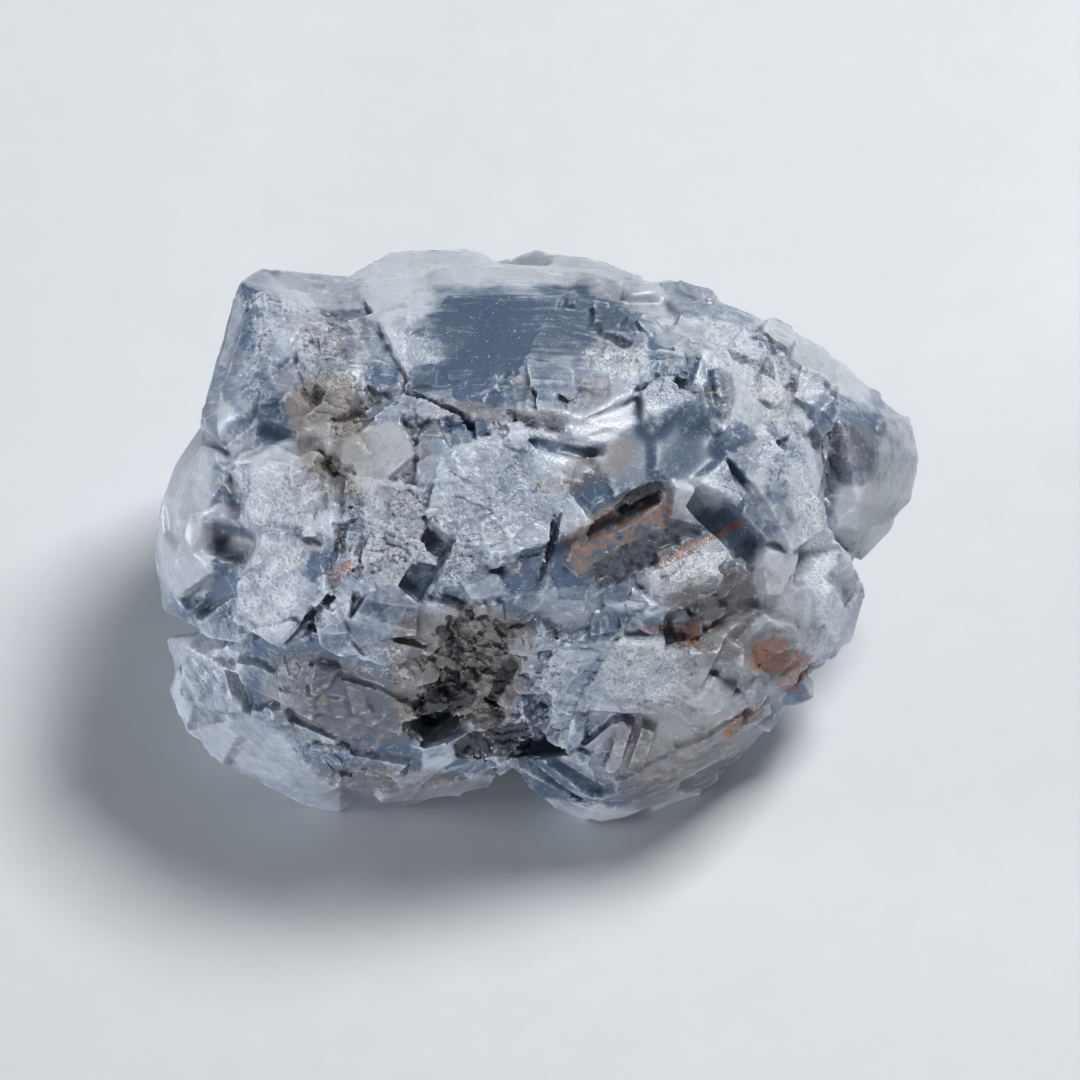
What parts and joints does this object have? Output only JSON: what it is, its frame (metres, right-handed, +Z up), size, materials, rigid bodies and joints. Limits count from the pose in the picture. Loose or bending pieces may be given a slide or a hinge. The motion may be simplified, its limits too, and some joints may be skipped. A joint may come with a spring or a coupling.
{
  "type": "rough blue calcite",
  "caption": "Fist-shaped lump of rough blue calcite with stepped cleavage faces, a milky worn rim, clay-brown hollows and rust stains, at rest on a flat broken face.",
  "frame": {"origin": "the middle of the bounding box in X and Y, on the surface that the lump rests on", "axes": "+X along the lump's greatest length, +Y away from the side shown in the picture, +Z up"},
  "size_m": [0.0702, 0.0478, 0.0407],
  "materials": {
    "blue_calcite": "pale slate-blue translucent calcite, waxy to glassy on cleavage faces, frosted white where bruised, clay brown and rust in the hollows"
  },
  "bodies": {
    "root": {"blue_calcite": "blue_calcite"}
  },
  "joints": []
}
